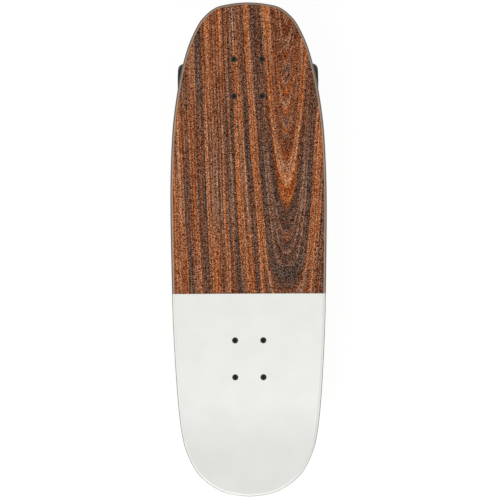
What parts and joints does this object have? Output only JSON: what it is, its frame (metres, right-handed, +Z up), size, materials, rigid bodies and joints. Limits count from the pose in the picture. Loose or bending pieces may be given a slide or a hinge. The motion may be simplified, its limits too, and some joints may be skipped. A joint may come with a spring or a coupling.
{
  "type": "cruiser skateboard",
  "caption": "Cruiser skateboard: wood-look grit top with a pale kicktail, concave ply deck, risers, lean-to-steer trucks and soft black wheels on ball bearings.",
  "frame": {"origin": "on the floor, under the middle of the board's footprint", "axes": "+Y to the nose, +X to the right of someone facing the nose, +Z up"},
  "size_m": [0.2286, 0.718, 0.1316],
  "materials": {
    "deck": "satin",
    "front_sheet": "matte",
    "tail_sheet": "satin",
    "bolts": "satin",
    "riser": "matte",
    "casting": "satin",
    "steel": "satin",
    "wheel_urethane": "satin",
    "bushing_urethane": "satin",
    "bearing_steel": "polished"
  },
  "bodies": {
    "board": {"deck": "deck", "grip_sheet_front": "front_sheet", "grip_sheet_tail": "tail_sheet", "front_deck_bolt_1": "bolts", "front_deck_bolt_2": "bolts", "front_deck_bolt_3": "bolts", "front_deck_bolt_4": "bolts", "rear_deck_bolt_1": "bolts", "rear_deck_bolt_2": "bolts", "rear_deck_bolt_3": "bolts", "rear_deck_bolt_4": "bolts", "front_riser_pad": "riser", "front_baseplate": "casting", "front_pivot_cup": "bushing_urethane", "front_kingpin": "steel", "front_kingpin_nut": "steel", "front_board_bushing": "bushing_urethane", "front_road_bushing": "bushing_urethane", "front_road_washer": "steel", "rear_riser_pad": "riser", "rear_baseplate": "casting", "rear_pivot_cup": "bushing_urethane", "rear_kingpin": "steel", "rear_kingpin_nut": "steel", "rear_board_bushing": "bushing_urethane", "rear_road_bushing": "bushing_urethane", "rear_road_washer": "steel"},
    "front_hanger_body": {"front_hanger": "casting", "front_axle": "steel", "front_left_axle_nut": "steel", "front_left_bearing_core": "bearing_steel", "front_right_axle_nut": "steel", "front_right_bearing_core": "bearing_steel"},
    "front_left_wheel_body": {"front_left_wheel": "wheel_urethane", "front_left_outboard_bearing_shell": "bearing_steel", "front_left_inboard_bearing_shell": "bearing_steel"},
    "front_left_ball_body": {"front_left_outboard_ball_cage": "bearing_steel", "front_left_inboard_ball_cage": "bearing_steel"},
    "front_right_wheel_body": {"front_right_wheel": "wheel_urethane", "front_right_outboard_bearing_shell": "bearing_steel", "front_right_inboard_bearing_shell": "bearing_steel"},
    "front_right_ball_body": {"front_right_outboard_ball_cage": "bearing_steel", "front_right_inboard_ball_cage": "bearing_steel"},
    "rear_hanger_body": {"rear_hanger": "casting", "rear_axle": "steel", "rear_left_axle_nut": "steel", "rear_left_bearing_core": "bearing_steel", "rear_right_axle_nut": "steel", "rear_right_bearing_core": "bearing_steel"},
    "rear_left_wheel_body": {"rear_left_wheel": "wheel_urethane", "rear_left_outboard_bearing_shell": "bearing_steel", "rear_left_inboard_bearing_shell": "bearing_steel"},
    "rear_left_ball_body": {"rear_left_outboard_ball_cage": "bearing_steel", "rear_left_inboard_ball_cage": "bearing_steel"},
    "rear_right_wheel_body": {"rear_right_wheel": "wheel_urethane", "rear_right_outboard_bearing_shell": "bearing_steel", "rear_right_inboard_bearing_shell": "bearing_steel"},
    "rear_right_ball_body": {"rear_right_outboard_ball_cage": "bearing_steel", "rear_right_inboard_ball_cage": "bearing_steel"}
  },
  "joints": [
    {"name": "front_steer", "type": "hinge", "parent": "board", "child": "front_hanger_body", "pos_m": [0, 0.2325, 0.0475], "axis": [0, -0.8269, -0.5623], "range_deg": [-15, 15], "stiffness_Nm_per_rad": 40, "deforming": ["front_board_bushing", "front_road_bushing"]},
    {"name": "front_left_wheel_spin", "type": "hinge", "parent": "front_hanger_body", "child": "front_left_wheel_body", "pos_m": [-0.08285, 0.246, 0.031], "axis": [1, 0, 0], "continuous": true},
    {"name": "front_left_ball_spin", "type": "hinge", "parent": "front_hanger_body", "child": "front_left_ball_body", "pos_m": [-0.08285, 0.246, 0.031], "axis": [1, 0, 0], "continuous": true},
    {"name": "front_right_wheel_spin", "type": "hinge", "parent": "front_hanger_body", "child": "front_right_wheel_body", "pos_m": [0.08285, 0.246, 0.031], "axis": [1, 0, 0], "continuous": true},
    {"name": "front_right_ball_spin", "type": "hinge", "parent": "front_hanger_body", "child": "front_right_ball_body", "pos_m": [0.08285, 0.246, 0.031], "axis": [1, 0, 0], "continuous": true},
    {"name": "rear_steer", "type": "hinge", "parent": "board", "child": "rear_hanger_body", "pos_m": [0, -0.1455, 0.0475], "axis": [0, 0.8269, -0.5623], "range_deg": [-15, 15], "stiffness_Nm_per_rad": 40, "deforming": ["rear_board_bushing", "rear_road_bushing"]},
    {"name": "rear_left_wheel_spin", "type": "hinge", "parent": "rear_hanger_body", "child": "rear_left_wheel_body", "pos_m": [-0.08285, -0.159, 0.031], "axis": [1, 0, 0], "continuous": true},
    {"name": "rear_left_ball_spin", "type": "hinge", "parent": "rear_hanger_body", "child": "rear_left_ball_body", "pos_m": [-0.08285, -0.159, 0.031], "axis": [1, 0, 0], "continuous": true},
    {"name": "rear_right_wheel_spin", "type": "hinge", "parent": "rear_hanger_body", "child": "rear_right_wheel_body", "pos_m": [0.08285, -0.159, 0.031], "axis": [1, 0, 0], "continuous": true},
    {"name": "rear_right_ball_spin", "type": "hinge", "parent": "rear_hanger_body", "child": "rear_right_ball_body", "pos_m": [0.08285, -0.159, 0.031], "axis": [1, 0, 0], "continuous": true}
  ],
  "couplings": [
    {"joint": "front_left_ball_spin", "follows": "front_left_wheel_spin", "ratio": 0.632},
    {"joint": "front_right_ball_spin", "follows": "front_right_wheel_spin", "ratio": 0.632},
    {"joint": "rear_left_ball_spin", "follows": "rear_left_wheel_spin", "ratio": 0.632},
    {"joint": "rear_right_ball_spin", "follows": "rear_right_wheel_spin", "ratio": 0.632}
  ]
}
